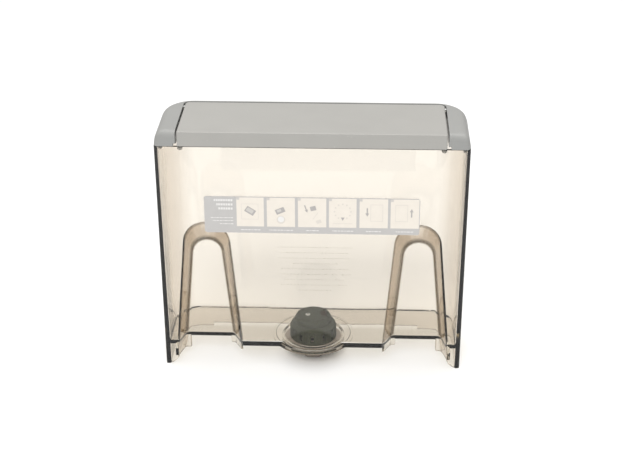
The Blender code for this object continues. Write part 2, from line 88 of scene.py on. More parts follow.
class TankFinish(bpy.types.PropertyGroup):
    """Colours and strengths of the plastics."""

    smoke_tint: colour_property("Smoke tint", "Light that the clear plastic lets through", (0.74, 0.69, 0.56))
    smoke_depth: bpy.props.FloatProperty(
        name="Smoke depth", description="How strongly each metre of wall takes up light", default=40.0, min=0.0
    )
    wall_tint: colour_property("Wall tint", "Colour that each wall adds at its faces", (0.932, 0.907, 0.868))
    # Painted shade: colour laid on the shell where it is seen edge-on, standing in for light lost in the plastic
    painted_edge_shade: colour_property("Painted edge shade", "Colour of the sections seen edge-on", (0.58, 0.49, 0.39))
    shadow_tint: colour_property("Shadow tint", "Light that each face lets into the shadow", (0.976, 0.969, 0.957))
    frame_colour: colour_property("Frame colour", "Satin grey of the top frame", (0.248, 0.250, 0.242))
    lid_colour: colour_property("Lid colour", "Satin grey of the lid panel", (0.308, 0.302, 0.284))
    holder_colour: colour_property("Holder colour", "Dark plastic of the filter holder", (0.066, 0.072, 0.050))
    base_colour: colour_property("Base colour", "Brown plastic under the filter holder", (0.36, 0.31, 0.265))
    wear: bpy.props.FloatProperty(
        name="Edge wear", description="How far edges are rubbed pale", default=0.25, min=0.0, max=1.0, subtype="FACTOR"
    )


class TankPrint(bpy.types.PropertyGroup):
    """Sizes and inks of the label and the dial marks."""

    ink_lift: bpy.props.FloatProperty(
        name="Ink lift", description="How far the ink stands off the film", default=0.00002, unit="LENGTH"
    )
    ink_depth: bpy.props.FloatProperty(
        name="Ink depth", description="Thickness of the ink", default=0.00003, unit="LENGTH"
    )
    film_colour: colour_property("Film colour", "Grey ground of the label", (0.43, 0.42, 0.41))
    cell_colour: colour_property("Cell colour", "Pale ink of the picture cells", (0.67, 0.625, 0.56))
    digit_height: bpy.props.FloatProperty(
        name="Digit height", description="Height of the month numbers", default=0.0017, unit="LENGTH"
    )


class TankStage(bpy.types.PropertyGroup):
    """Camera and lights."""

    lens: bpy.props.FloatProperty(name="Lens", description="Focal length in millimetres", default=82.5)
    key_power: bpy.props.FloatProperty(name="Key power", description="Front light", default=34.0, unit="POWER")
    fill_power: bpy.props.FloatProperty(name="Fill power", description="Overhead light", default=22.0, unit="POWER")
    sky: bpy.props.FloatProperty(name="Sky", description="Brightness of the room", default=0.60, min=0.0)


# ---------------------------------------------------------------- node helpers


def add_node(tree, kind, links=None, **values):
    """Adds a node; values set its options or inputs, links its inputs from other sockets."""
    made = tree.nodes.new(kind)
    for name, value in values.items():
        if name.startswith("in_"):
            key = name[3:]
            made.inputs[int(key) if key.isdigit() else key.replace("_", " ")].default_value = value
        else:
            setattr(made, name, value)
    for key, source in (links or {}).items():
        tree.links.new(source, made.inputs[key])
    return made


def new_group(name, inputs, outputs):
    """A shader group with the given float inputs (name, default) and outputs (name, socket type)."""
    group = bpy.data.node_groups.new(name, "ShaderNodeTree")
    for label, default in inputs:
        socket = group.interface.new_socket(label, in_out="INPUT", socket_type="NodeSocketFloat")
        socket.default_value = default
    for label, kind in outputs:
        group.interface.new_socket(label, in_out="OUTPUT", socket_type=kind)
    return group, group.nodes.new("NodeGroupInput"), group.nodes.new("NodeGroupOutput")


def build_grain_group():
    """Fine moulding grain over a slow waviness, as a height and a mottle mask."""
    group, given, out = new_group(
        "moulded_grain",
        (("Grain Size", 0.0006), ("Grain", 1.0), ("Wave Size", 0.03), ("Wave", 0.0)),
        (("Height", "NodeSocketFloat"), ("Mottle", "NodeSocketFloat")),
    )
    place = add_node(group, "ShaderNodeTexCoord")
    fine_scale = add_node(group, "ShaderNodeMath", {1: given.outputs["Grain Size"]}, operation="DIVIDE", in_0=1.0)
    slow_scale = add_node(group, "ShaderNodeMath", {1: given.outputs["Wave Size"]}, operation="DIVIDE", in_0=1.0)
    fine = add_node(
        group, "ShaderNodeTexNoise", {"Vector": place.outputs["Object"], "Scale": fine_scale.outputs[0]},
        in_Detail=3.0, in_Roughness=0.6,
    )
    slow = add_node(
        group, "ShaderNodeTexNoise", {"Vector": place.outputs["Object"], "Scale": slow_scale.outputs[0]},
        in_Detail=1.5, in_Roughness=0.4,
    )
    fine_part = add_node(
        group, "ShaderNodeMath", {0: fine.outputs["Fac"], 1: given.outputs["Grain"]}, operation="MULTIPLY"
    )
    slow_part = add_node(
        group, "ShaderNodeMath", {0: slow.outputs["Fac"], 1: given.outputs["Wave"]}, operation="MULTIPLY"
    )
    height = add_node(group, "ShaderNodeMath", {0: fine_part.outputs[0], 1: slow_part.outputs[0]}, operation="ADD")
    group.links.new(height.outputs[0], out.inputs["Height"])
    group.links.new(slow.outputs["Fac"], out.inputs["Mottle"])
    return group


def build_wear_group():
    """Mask of rubbed edges: where the rounded normal leaves the true one, broken up by noise."""
    group, given, out = new_group(
        "edge_wear", (("Width", 0.0008), ("Amount", 0.5), ("Patch Size", 0.004)), (("Mask", "NodeSocketFloat"),)
    )
    place = add_node(group, "ShaderNodeTexCoord")
    flat = add_node(group, "ShaderNodeNewGeometry")
    soft = add_node(group, "ShaderNodeBevel", {"Radius": given.outputs["Width"]}, samples=6)
    match = add_node(
        group, "ShaderNodeVectorMath", {0: soft.outputs["Normal"], 1: flat.outputs["Normal"]}, operation="DOT_PRODUCT"
    )
    edge = add_node(group, "ShaderNodeMapRange", {"Value": match.outputs["Value"]}, in_1=0.995, in_2=0.86)
    scale = add_node(group, "ShaderNodeMath", {1: given.outputs["Patch Size"]}, operation="DIVIDE", in_0=1.0)
    patch = add_node(
        group, "ShaderNodeTexNoise", {"Vector": place.outputs["Object"], "Scale": scale.outputs[0]}, in_Detail=4.0
    )
    broken = add_node(group, "ShaderNodeMapRange", {"Value": patch.outputs["Fac"]}, in_1=0.38, in_2=0.66)
    both = add_node(group, "ShaderNodeMath", {0: edge.outputs[0], 1: broken.outputs[0]}, operation="MULTIPLY")
    mask = add_node(
        group, "ShaderNodeMath", {0: both.outputs[0], 1: given.outputs["Amount"]}, operation="MULTIPLY"
    )
    group.links.new(mask.outputs[0], out.inputs["Mask"])
    return group


def build_dust_group():
    """Sparse specks and a faint film of dust that lies on faces turned upward."""
    group, given, out = new_group(
        "settled_dust", (("Speck Size", 0.0009), ("Specks", 0.5), ("Film", 0.2)), (("Mask", "NodeSocketFloat"),)
    )
    place = add_node(group, "ShaderNodeTexCoord")
    scale = add_node(group, "ShaderNodeMath", {1: given.outputs["Speck Size"]}, operation="DIVIDE", in_0=0.35)
    cells = add_node(
        group, "ShaderNodeTexVoronoi", {"Vector": place.outputs["Object"], "Scale": scale.outputs[0]}
    )
    speck = add_node(group, "ShaderNodeMapRange", {"Value": cells.outputs["Distance"]}, in_1=0.10, in_2=0.04)
    chance = add_node(group, "ShaderNodeSeparateColor", {"Color": cells.outputs["Color"]})
    kept = add_node(
        group, "ShaderNodeMath", {0: chance.outputs["Red"], 1: given.outputs["Specks"]}, operation="LESS_THAN"
    )
    few = add_node(group, "ShaderNodeMath", {0: speck.outputs[0], 1: kept.outputs[0]}, operation="MULTIPLY")
    way = add_node(group, "ShaderNodeNewGeometry")
    split = add_node(group, "ShaderNodeSeparateXYZ", {"Vector": way.outputs["Normal"]})
    upward = add_node(group, "ShaderNodeMapRange", {"Value": split.outputs["Z"]}, in_1=0.2, in_2=1.0)
    haze = add_node(
        group, "ShaderNodeMath", {0: upward.outputs[0], 1: given.outputs["Film"]}, operation="MULTIPLY"
    )
    mask = add_node(group, "ShaderNodeMath", {0: few.outputs[0], 1: haze.outputs[0]}, operation="MAXIMUM")
    group.links.new(mask.outputs[0], out.inputs["Mask"])
    return group


def shared_group(name):
    """The shared group of that name, built on its first use."""
    builders = {
        "moulded_grain": build_grain_group, "edge_wear": build_wear_group, "settled_dust": build_dust_group,
    }
    return bpy.data.node_groups.get(name) or builders[name]()


def place_group(tree, name, **values):
    """Adds a shared group to a material, with its inputs set from values."""
    made = tree.nodes.new("ShaderNodeGroup")
    made.node_tree = shared_group(name)
    for key, value in values.items():
        made.inputs[key.replace("_", " ")].default_value = value
    return made


def new_material(name):
    """A node material, with its tree and its Principled shader."""
    material = bpy.data.materials.new(name)
    material.use_nodes = True
    tree = material.node_tree
    return material, tree, tree.nodes["Principled BSDF"]


def mix_colour(tree, mask, low, high):
    """Colour socket between two colours, each a triple or a socket."""
    mix = add_node(tree, "ShaderNodeMix", {0: mask}, data_type="RGBA")
    for key, colour in ((6, low), (7, high)):
        if isinstance(colour, bpy.types.NodeSocket):
            tree.links.new(colour, mix.inputs[key])
        else:
            mix.inputs[key].default_value = (*colour, 1.0)
    return mix.outputs[2]


def scaled(colour, factor):
    """A colour brightened or darkened by a factor, held to 1."""
    return tuple(min(1.0, part * factor) for part in colour)


def moulded_plastic(
    name, colour, rough=0.42, grain=0.0006, grain_depth=0.00004, wave=0.0, wear=0.3, dust=0.10, mottle=0.06, ior=1.5
):
    """Opaque moulded plastic: grained, faintly mottled, rubbed on its edges and lightly dusty."""
    material, tree, shader = new_material(name)
    texture = place_group(tree, "moulded_grain", Grain_Size=grain, Wave=wave)
    rubbed = place_group(tree, "edge_wear", Amount=wear)
    dusty = place_group(tree, "settled_dust", Specks=0.10, Film=dust)
    mottled = mix_colour(tree, texture.outputs["Mottle"], scaled(colour, 1 - mottle), scaled(colour, 1 + mottle))
    edged = mix_colour(tree, rubbed.outputs["Mask"], mottled, scaled(colour, 1.55))
    dusted = mix_colour(tree, dusty.outputs["Mask"], edged, DUST_COLOUR)
    tree.links.new(dusted, shader.inputs["Base Color"])
    shine = add_node(
        tree, "ShaderNodeMapRange", {"Value": texture.outputs["Mottle"]}, in_3=rough - 0.06, in_4=rough + 0.08
    )
    worn = add_node(
        tree, "ShaderNodeMath", {0: rubbed.outputs["Mask"], 2: shine.outputs[0]}, operation="MULTIPLY_ADD", in_1=-0.12
    )
    tree.links.new(worn.outputs[0], shader.inputs["Roughness"])
    bump = add_node(
        tree, "ShaderNodeBump", {"Height": texture.outputs["Height"]}, in_Strength=0.6, in_Distance=grain_depth
    )
    tree.links.new(bump.outputs[0], shader.inputs["Normal"])
    shader.inputs["IOR"].default_value = ior
    return material


def turned_metal(name, colour=(0.62, 0.62, 0.60), rough=0.28):
    """Drawn or turned steel with fine lines round it."""
    material, tree, shader = new_material(name)
    place = add_node(tree, "ShaderNodeTexCoord")
    stretch = add_node(tree, "ShaderNodeMapping", {"Vector": place.outputs["Object"]}, in_Scale=(5200.0, 900.0, 900.0))
    lines = add_node(tree, "ShaderNodeTexNoise", {"Vector": stretch.outputs[0]}, in_Scale=1.0, in_Detail=3.0)
    tone = mix_colour(tree, lines.outputs["Fac"], scaled(colour, 0.8), scaled(colour, 1.15))
    tree.links.new(tone, shader.inputs["Base Color"])
    shader.inputs["Metallic"].default_value = 1.0
    shine = add_node(tree, "ShaderNodeMapRange", {"Value": lines.outputs["Fac"]}, in_3=rough - 0.08, in_4=rough + 0.12)
    tree.links.new(shine.outputs[0], shader.inputs["Roughness"])
    bump = add_node(
        tree, "ShaderNodeBump", {"Height": lines.outputs["Fac"]}, in_Strength=0.3, in_Distance=0.00002
    )
    tree.links.new(bump.outputs[0], shader.inputs["Normal"])
    return material


def between(tree, value, low, high, soft=0.0008):
    """Mask of 1 where value lies between low and high, with ends soft over twice the given length."""
    rise = add_node(tree, "ShaderNodeMapRange", {"Value": value}, in_1=low - soft, in_2=low + soft)
    fall = add_node(tree, "ShaderNodeMapRange", {"Value": value}, in_1=high + soft, in_2=high - soft)
    return multiply(tree, rise.outputs[0], fall.outputs[0])


def multiply(tree, *values):
    """Product of sockets and plain numbers."""
    made = values[0]
    for value in values[1:]:
        node = add_node(tree, "ShaderNodeMath", {0: made}, operation="MULTIPLY")
        if isinstance(value, bpy.types.NodeSocket):
            tree.links.new(value, node.inputs[1])
        else:
            node.inputs[1].default_value = value
        made = node.outputs[0]
    return made


# Where the shell's sections seen edge-on lie, which take painted shade: distances from the middle, heights, and depths
# behind the front wall
RECESS_ACROSS, RECESS_HEIGHT, RECESS_DEPTH = (0.0555, 0.1185), (0.0225, 0.1400), (-0.002, 0.0215)
RECESS_FRONT_RIM, RECESS_REAR_RIM = (-0.002, 0.0023), (0.0132, 0.0200)
CORNER_ACROSS, CORNER_DEPTH = (0.1204, 0.2), (-0.002, 0.0030)
SIDES_ACROSS = (0.0950, 0.2)
SKIRT_HEIGHT, SKIRT_DEPTH = (-0.01, 0.0180), (0.0560, 0.08)
RING_RADIUS, RING_HEIGHT = (0.0312, 0.0352), (0.0100, 0.0222)
# How strongly each section takes the painted edge shade
CORNER_SHARE, SIDES_SHARE, SKIRT_SHARE, RING_SHARE = 0.6, 0.62, 0.34, 0.95
NARROW_EDGE, CORNER_EDGE = 0.0003, 0.0002


def behind_front(span):
    """A span of depths behind the front wall, as places along Y."""
    return FRONT_Y + span[0], FRONT_Y + span[1]


def painted_edge_shade_masks(tree):
    """Masks of painted shade: the faces that stand edge-on to the front, and, darker still, the recess rim bands and
    front corners.
    """
    spot = add_node(tree, "ShaderNodeTexCoord")
    place = add_node(tree, "ShaderNodeSeparateXYZ", {0: spot.outputs["Object"]})
    way = add_node(tree, "ShaderNodeSeparateXYZ", {0: add_node(tree, "ShaderNodeNewGeometry").outputs["Normal"]})
    across, turned, facing = (
        add_node(tree, "ShaderNodeMath", {0: socket}, operation="ABSOLUTE").outputs[0]
        for socket in (place.outputs["X"], way.outputs["X"], way.outputs["Y"])
    )
    deep, height = place.outputs["Y"], place.outputs["Z"]
    slanted = add_node(tree, "ShaderNodeMapRange", {"Value": facing}, in_1=0.985, in_2=0.86).outputs[0]
    recess = multiply(
        tree, slanted, between(tree, across, *RECESS_ACROSS), between(tree, height, *RECESS_HEIGHT),
        between(tree, deep, *behind_front(RECESS_DEPTH)),
    )
    sideways = add_node(tree, "ShaderNodeMapRange", {"Value": turned}, in_1=0.25, in_2=0.95).outputs[0]
    # The shell grows 5 mm wider for each metre of height
    plumb = add_node(tree, "ShaderNodeMath", {0: height, 2: across}, operation="MULTIPLY_ADD", in_1=-0.005).outputs[0]
    corner = multiply(
        tree, between(tree, plumb, *CORNER_ACROSS, CORNER_EDGE), between(tree, deep, *behind_front(CORNER_DEPTH)),
        CORNER_SHARE,
    )
    sides = multiply(tree, sideways, between(tree, across, *SIDES_ACROSS), SIDES_SHARE)
    skirt = multiply(
        tree, between(tree, height, *SKIRT_HEIGHT), between(tree, deep, *behind_front(SKIRT_DEPTH)), SKIRT_SHARE
    )
    centre = add_node(tree, "ShaderNodeCombineXYZ", {2: height}, in_0=WELL_CENTRE[0], in_1=WELL_CENTRE[1])
    from_axis = add_node(
        tree, "ShaderNodeVectorMath", {0: spot.outputs["Object"], 1: centre.outputs[0]}, operation="DISTANCE"
    )
    ring = multiply(
        tree, sideways, between(tree, from_axis.outputs["Value"], *RING_RADIUS, NARROW_EDGE),
        between(tree, height, *RING_HEIGHT), RING_SHARE,
    )
    edge_shade_mask = recess
    for mask in (sides, skirt, ring):
        edge_shade_mask = add_node(tree, "ShaderNodeMath", {0: edge_shade_mask, 1: mask}, operation="MAXIMUM").outputs[0]
    ends = add_node(
        tree, "ShaderNodeMath",
        {0: between(tree, deep, *behind_front(RECESS_FRONT_RIM), NARROW_EDGE),
         1: between(tree, deep, *behind_front(RECESS_REAR_RIM), NARROW_EDGE)},
        operation="MAXIMUM",
    )
    rim_shade_mask = add_node(
        tree, "ShaderNodeMath", {0: multiply(tree, recess, ends.outputs[0]), 1: corner}, operation="MAXIMUM"
    )
    return edge_shade_mask, rim_shade_mask.outputs[0]


CLEAR_ROUGHNESS, CLEAR_IOR = 0.03, 1.49


def clear_plastic(name, look):
    """Smoked clear plastic: bends light, takes up some in its thickness and lets lamps through; its colour carries
    painted shade where it is seen edge-on.
    """
    material, tree, shader = new_material(name)
    edge_shade_mask, rim_shade_mask = painted_edge_shade_masks(tree)
    # Painted shade: darker on faces seen edge-on, darker still on the recess rim bands and front corners
    tone = mix_colour(tree, edge_shade_mask, look.wall_tint, look.painted_edge_shade)
    tone = mix_colour(tree, rim_shade_mask, tone, scaled(look.painted_edge_shade, 0.4))
    tree.links.new(tone, shader.inputs["Base Color"])
    shader.inputs["Transmission Weight"].default_value = 1.0
    shader.inputs["Metallic"].default_value = 0.0
    shader.inputs["IOR"].default_value = CLEAR_IOR
    texture = place_group(tree, "moulded_grain", Grain_Size=0.004, Grain=0.12, Wave_Size=0.045, Wave=1.0)
    dusty = place_group(tree, "settled_dust", Specks=0.04, Film=0.0)
    shine = add_node(
        tree, "ShaderNodeMath", {0: dusty.outputs["Mask"]}, operation="MULTIPLY_ADD", in_1=0.35,
        in_2=CLEAR_ROUGHNESS,
    )
    tree.links.new(shine.outputs[0], shader.inputs["Roughness"])
    bump = add_node(
        tree, "ShaderNodeBump", {"Height": texture.outputs["Height"]}, in_Strength=0.35, in_Distance=0.0002
    )
    tree.links.new(bump.outputs[0], shader.inputs["Normal"])
    inside = add_node(
        tree, "ShaderNodeVolumeAbsorption", in_Color=(*look.smoke_tint, 1.0), in_Density=look.smoke_depth
    )
    out = tree.nodes["Material Output"]
    tree.links.new(inside.outputs[0], out.inputs["Volume"])
    passing = add_node(tree, "ShaderNodeBsdfTransparent", in_Color=(*look.shadow_tint, 1.0))
    ray = add_node(tree, "ShaderNodeLightPath")
    both = add_node(
        tree, "ShaderNodeMixShader",
        {0: ray.outputs["Is Shadow Ray"], 1: shader.outputs[0], 2: passing.outputs[0]},
    )
    tree.links.new(both.outputs[0], out.inputs["Surface"])
    return material


def printed_film(name, colour, rough=0.45, ior=1.5):
    """Printed film: even ink with a fine mottle and a soft sheen."""
    material, tree, shader = new_material(name)
    texture = place_group(tree, "moulded_grain", Grain_Size=0.0005, Wave_Size=0.006)
    tone = mix_colour(tree, texture.outputs["Mottle"], scaled(colour, 0.96), scaled(colour, 1.04))
    tree.links.new(tone, shader.inputs["Base Color"])
    shine = add_node(
        tree, "ShaderNodeMapRange", {"Value": texture.outputs["Mottle"]}, in_3=rough - 0.05, in_4=rough + 0.08
    )
    tree.links.new(shine.outputs[0], shader.inputs["Roughness"])
    bump = add_node(
        tree, "ShaderNodeBump", {"Height": texture.outputs["Height"]}, in_Strength=0.25, in_Distance=0.00002
    )
    tree.links.new(bump.outputs[0], shader.inputs["Normal"])
    shader.inputs["IOR"].default_value = ior
    return material


# ---------------------------------------------------------------- mesh helpers


SHARP_ANGLE = 32
MERGE_DISTANCE = 0.000004


def smooth_group():
    """Geometry nodes that join a node's loose triangles and shade it smooth below an angle."""
    group = bpy.data.node_groups.get("soft_shading")
    if group:
        return group
    group = bpy.data.node_groups.new("soft_shading", "GeometryNodeTree")
    group.interface.new_socket("Geometry", in_out="INPUT", socket_type="NodeSocketGeometry")
    group.interface.new_socket("Geometry", in_out="OUTPUT", socket_type="NodeSocketGeometry")
    given, out = group.nodes.new("NodeGroupInput"), group.nodes.new("NodeGroupOutput")
    joined = add_node(group, "GeometryNodeMergeByDistance", {"Geometry": given.outputs[0]}, in_Distance=MERGE_DISTANCE)
    bare = add_node(group, "GeometryNodeRemoveAttribute", {"Geometry": joined.outputs[0]}, in_Name="custom_normal")
    faces = add_node(group, "GeometryNodeSetShadeSmooth", {"Geometry": bare.outputs[0]}, domain="FACE")
    angle = add_node(group, "GeometryNodeInputMeshEdgeAngle")
    sharp = add_node(
        group, "FunctionNodeCompare", {0: angle.outputs["Unsigned Angle"]}, operation="GREATER_THAN",
        in_1=math.radians(SHARP_ANGLE),
    )
    edges = add_node(
        group, "GeometryNodeSetShadeSmooth", {"Geometry": faces.outputs[0], "Selection": sharp.outputs[0]},
        domain="EDGE",
    )
    edges.inputs["Shade Smooth"].default_value = False
    group.links.new(edges.outputs[0], out.inputs[0])
    return group


def finish_node(name, material):
    """Gives a CAD node its finish and soft shading."""
    thing = NODES[name]
    if not thing.material_slots:
        thing.data.materials.append(material)
    for slot in thing.material_slots:
        slot.material = material
    modifier = thing.modifiers.new("Soft shading", "NODES")
    modifier.node_group = smooth_group()
    even = thing.modifiers.new("Even normals", "WEIGHTED_NORMAL")
    even.mode = "FACE_AREA"
    even.weight = 100
    even.keep_sharp = True
    return thing


def link_mesh(name, bm, materials, body):
    """Makes an object from a bmesh, with its finishes and body."""
    bmesh.ops.recalc_face_normals(bm, faces=bm.faces)
    mesh = bpy.data.meshes.new(name)
    bm.to_mesh(mesh)
    bm.free()
    thing = bpy.data.objects.new(name, mesh)
    bpy.context.scene.collection.objects.link(thing)
    for material in materials:
        mesh.materials.append(material)
    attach(thing, body)
    return thing


def add_prism(bm, outline, near, far, index=0):
    """Closed slab from an (x, z) outline, between two depths."""
    front = [bm.verts.new((x, near, z)) for x, z in outline]
    back = [bm.verts.new((x, far, z)) for x, z in outline]
    faces = [bm.faces.new(front), bm.faces.new(list(reversed(back)))]
    for here in range(len(outline)):
        following = (here + 1) % len(outline)
        faces.append(bm.faces.new((front[here], back[here], back[following], front[following])))
    for face in faces:
        face.material_index = index
    return faces


def bar(centre, size, angle=0.0):
    """Corners of a turned rectangle, in (x, z)."""
    turn = math.radians(angle)
    corners = ((-1, -1), (1, -1), (1, 1), (-1, 1))
    points = []
    for sx, sz in corners:
        dx, dz = sx * size[0] / 2, sz * size[1] / 2
        points.append((
            centre[0] + dx * math.cos(turn) - dz * math.sin(turn),
            centre[1] + dx * math.sin(turn) + dz * math.cos(turn),
        ))
    return points


def disc(centre, radius, steps=14):
    """Corners of a circle, in (x, z)."""
    turn = math.tau / steps
    return [(centre[0] + radius * math.cos(turn * k), centre[1] + radius * math.sin(turn * k)) for k in range(steps)]


# ---------------------------------------------------------------- label shapes


DARK, SOFT, FAINT, WHITE = range(4)
# Layer of each ink over the picture cells
INK_ORDER = {FAINT: 0, DARK: 1, WHITE: 1, SOFT: 2}
# Left and right ends of the picture cells, and their heights, in millimetres
CELLS = ((-60.5, -38.5), (-36.1, -13.5), (-11.1, 11.7), (13.8, 35.9), (38.3, 61.1), (63.2, 86.0))
CELL_LOW, CELL_HIGH = 130.7, 156.4
CELL_MID, CELL_TALL = (CELL_LOW + CELL_HIGH) / 2, CELL_HIGH - CELL_LOW


def arrow(tip, tail, width):
    """Outline of an arrow from tail to tip."""
    tip, tail = Vector(tip), Vector(tail)
    along = (tip - tail).normalized()
    across = Vector((-along.y, along.x))
    neck = tip - along * width * 1.9
    points = (
        tip, neck + across * width, neck + across * width * 0.35, tail + across * width * 0.35,
        tail - across * width * 0.35, neck - across * width * 0.35, neck - across * width,
    )
    return [tuple(point) for point in points]


def frame_bars(centre, size, line, angle=0.0):
    """Four bars that outline a turned rectangle."""
    turn = Matrix.Rotation(math.radians(angle), 2)
    middle = Vector(centre)
    half_x, half_z = size[0] / 2, size[1] / 2
    bars = []
    for offset, extent in (
        ((0, half_z), (size[0] + line, line)), ((0, -half_z), (size[0] + line, line)),
        ((half_x, 0), (line, size[1] - line)), ((-half_x, 0), (line, size[1] - line)),
    ):
        bars.append(bar(tuple(middle + turn @ Vector(offset)), extent, angle))
    return bars


def dashes(right, z, width, tall, lengths, gap):
    """Short bars from the right edge leftward, in a repeating rhythm, that fill one line's width."""
    made, left, number = [], right - width, 0
    while right - left > 0.6:
        length = min(lengths[number % len(lengths)], right - left)
        made.append(bar((right - length / 2, z), (length, tall)))
        right -= length + gap
        number += 1
    return made


def label_marks():
    """Pictograms and bars as (outline in mm, tone); bars stand where a label has its lines of text."""
    marks = []
    for z, width in ((153.8, 15.0), (150.0, 13.0), (146.4, 12.4)):
        marks += [(one, WHITE) for one in dashes(-63.6, z, width, 1.9, (1.5, 1.7, 1.4), 0.45)]
    for z, width in ((138.2, 18.0), (135.6, 16.4), (132.8, 11.0)):
        marks += [(one, WHITE) for one in dashes(-63.4, z, width, 0.7, (2.2, 1.2, 2.8, 0.9, 1.7), 0.5)]
    for (low, high), width in zip(CELLS, (16.0, 19.0, 10.6, 17.0, 12.0, 14.0)):
        marks.append((bar((low + 1.2, CELL_HIGH - 1.1), (2.2, 2.0)), SOFT))
        right = (low + high + width) / 2
        marks += [(one, WHITE) for one in dashes(right, 127.7, width, 0.8, (1.9, 3.0, 1.3, 2.3), 0.5)]
    middles = [((low + high) / 2, CELL_MID) for low, high in CELLS]

    x, z = middles[0]
    marks.append((bar((x, z + 1.0), (8.2, 5.2), -33), DARK))
    marks.append((bar((x - 0.2, z + 1.4), (5.8, 3.2), -33), SOFT))
    marks += [(one, FAINT) for one in frame_bars((x - 0.3, z + 0.4), (13.5, 13.5), 0.35)]

    x, z = middles[1]
    marks.append((bar((x - 0.6, z + 1.4), (7.6, 4.4), 24), DARK))
    marks.append((bar((x - 1.4, z + 1.5), (3.4, 2.2), 24), SOFT))
    marks += [(disc((x, z - 6.6), 3.6), FAINT), (disc((x, z - 6.1), 2.6), WHITE)]

    x, z = middles[2]
    marks.append((arrow((x - 3.9, z + 0.2), (x - 6.0, z + 6.6), 1.3), DARK))
    marks.append((bar((x + 0.8, z + 3.9), (4.6, 3.8), 14), DARK))
    marks.append((bar((x + 5.3, z - 7.8), (4.0, 3.0), 22), FAINT))
    marks.append((bar((x + 2.8, z - 2.6), (0.4, 7.6), -34), FAINT))

    x, z = middles[3]
    for step in range(MONTHS):
        angle = math.tau * step / MONTHS
        marks.append((disc((x + 6.6 * math.cos(angle), z + 1.4 + 6.6 * math.sin(angle)), 0.75, 8), FAINT))
    marks.append(([(x - 1.5, z - 3.8), (x + 1.5, z - 3.8), (x, z - 6.6)], DARK))
    marks.append((bar((x, z - 9.2), (16.0, 0.4)), FAINT))

    x, z = middles[4]
    marks.append((arrow((x - 5.2, z - 2.6), (x - 5.2, z + 4.8), 1.5), DARK))
    marks += [(one, FAINT) for one in frame_bars((x + 2.4, z + 0.6), (9.6, 14.5), 0.4)]

    x, z = middles[5]
    marks.append((arrow((x + 5.4, z + 4.6), (x + 5.4, z - 2.8), 1.5), DARK))
    marks += [(one, FAINT) for one in frame_bars((x - 2.6, z + 0.6), (9.6, 14.5), 0.4)]
    return marks


# Lines on the back wall in millimetres: widths from the top down, the first one's height and the step between them
REAR_WIDTHS = (66.0, 58.0, 62.0, 40.0, 60.0, 64.0, 52.0, 58.0, 30.0)
REAR_TOP, REAR_STEP, REAR_MIDDLE = 79.0, 5.2, -1.0
# Depth of the back wall's outside behind the front wall: at the floor, its lean, and the height that it leans over
BACK_DEPTH, BACK_LEAN, BACK_HEIGHT = 65.5, 3.5, 199.2


def rear_lines(look):
    """Faint short bars where lines of care text stand on the outside of the leaning back wall."""
    bm = bmesh.new()
    for line, width in enumerate(REAR_WIDTHS):
        z = REAR_TOP - line * REAR_STEP
        back = FRONT_Y + (BACK_DEPTH + BACK_LEAN * z / BACK_HEIGHT) * MM
        for one in dashes(REAR_MIDDLE + width / 2, z, width, 0.32, (1.8, 1.1, 2.3, 0.8, 1.5), 1.5):
            outline = [(x * MM, height * MM) for x, height in one]
            add_prism(bm, outline, back + look.ink_lift, back + look.ink_lift + look.ink_depth)
    return bm


# ---------------------------------------------------------------- dial and valve shapes


TICK_RADIUS, TICK_SIZE = 12.3 * MM, (1.9 * MM, 1.2 * MM)
# The ticks' ink stands this far over the dial
TICK_LOW, TICK_HIGH = 0.02 * MM, 0.07 * MM
# The thumb pad's middle from the dial's axis, its radius, and the radius that clips it
PAD_CENTRE, PAD_RADIUS, PAD_LIMIT = (10.6 * MM, 3.0 * MM), 4.6 * MM, 11.7 * MM
# The pad lies this far under the dial's top
PAD_LOW, PAD_HIGH = 0.47 * MM, 0.35 * MM
# Section of the ring round the window, as (radius, height over the dial) in millimetres
WINDOW_SECTION = ((1.45, 0.02), (1.95, 0.02), (2.0, 0.12), (1.85, 0.22), (1.6, 0.20), (1.42, 0.08))


def around_dial(radius, angle):
    """Point in plan at one radius and angle about the dial's axis."""
    return WELL_CENTRE[0] + radius * math.cos(angle), WELL_CENTRE[1] + radius * math.sin(angle)


def month_digits(look):
    """Flat mesh of the twelve month numbers in a ring that passes under the dial's window."""
    numbers = bmesh.new()
    for month in range(MONTHS):
        curve = bpy.data.curves.new(f"number_{month + 1}", "FONT")
        curve.body = str(month + 1)
        curve.align_x, curve.align_y = "CENTER", "CENTER"
        curve.size = look.digit_height
        curve.extrude = 0.02 * MM
        curve.resolution_u = 3
        text = bpy.data.objects.new(curve.name, curve)
        mesh = bpy.data.meshes.new_from_object(text)
        angle = math.pi + math.tau * month / MONTHS
        centre = (*around_dial(WINDOW_RADIUS, angle), DISC_HIGH.z + 0.05 * MM)
        mesh.transform(Matrix.Translation(centre) @ Matrix.Rotation(angle - math.pi, 4, "Z"))
        numbers.from_mesh(mesh)
        bpy.data.objects.remove(text)
        bpy.data.curves.remove(curve)
        bpy.data.meshes.remove(mesh)
    return numbers


def add_slab(bm, outline, low, high):
    """Closed slab from an (x, y) outline, between two heights."""
    faces = add_prism(bm, outline, low, high)
    for vert in {vert for face in faces for vert in face.verts}:
        vert.co.y, vert.co.z = vert.co.z, vert.co.y


def thumb_outline(centre, radius, limit, steps=40):
    """Circle clipped by a second circle of radius limit about the dial's axis."""
    points = []
    for step in range(steps):
        angle = math.tau * step / steps
        point = Vector((centre[0] + radius * math.cos(angle), centre[1] + radius * math.sin(angle)))
        if point.length > limit:
            point = point.normalized() * limit
        points.append((WELL_CENTRE[0] + point.x, WELL_CENTRE[1] + point.y))
    return points


